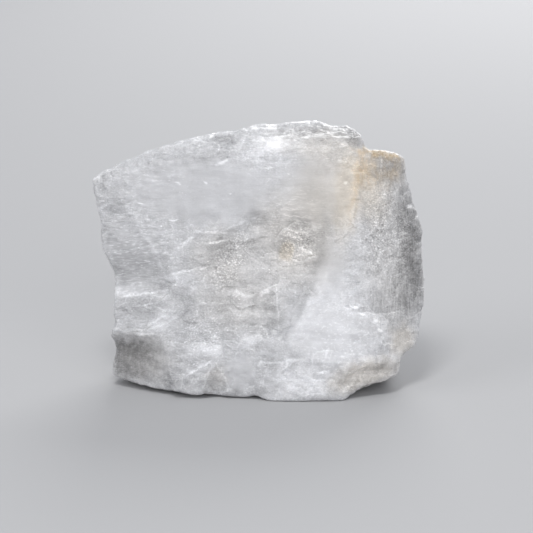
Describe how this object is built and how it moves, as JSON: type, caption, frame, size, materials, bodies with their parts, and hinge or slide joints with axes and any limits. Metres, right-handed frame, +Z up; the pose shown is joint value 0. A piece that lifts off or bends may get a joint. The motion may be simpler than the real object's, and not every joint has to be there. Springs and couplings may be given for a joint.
{
  "type": "cryolite specimen",
  "caption": "Broken block of massive white mineral with stepped, pearly parting faces and an iron-stained upper corner, standing on its own flat foot for display.",
  "frame": {"origin": "middle of the block's box in X and Y, on the surface that its flat foot rests on", "axes": "+X to the right across the broad front face, +Y from the front face to the back, +Z up"},
  "size_m": [0.0674, 0.0348, 0.0524],
  "materials": {
    "cryolite": "translucent greyish white massive cryolite, pearly to greasy, smooth parting faces beside granular broken ones, with orange-brown iron stain in one upper corner"
  },
  "bodies": {
    "root": {"cryolite": "cryolite"}
  },
  "joints": []
}
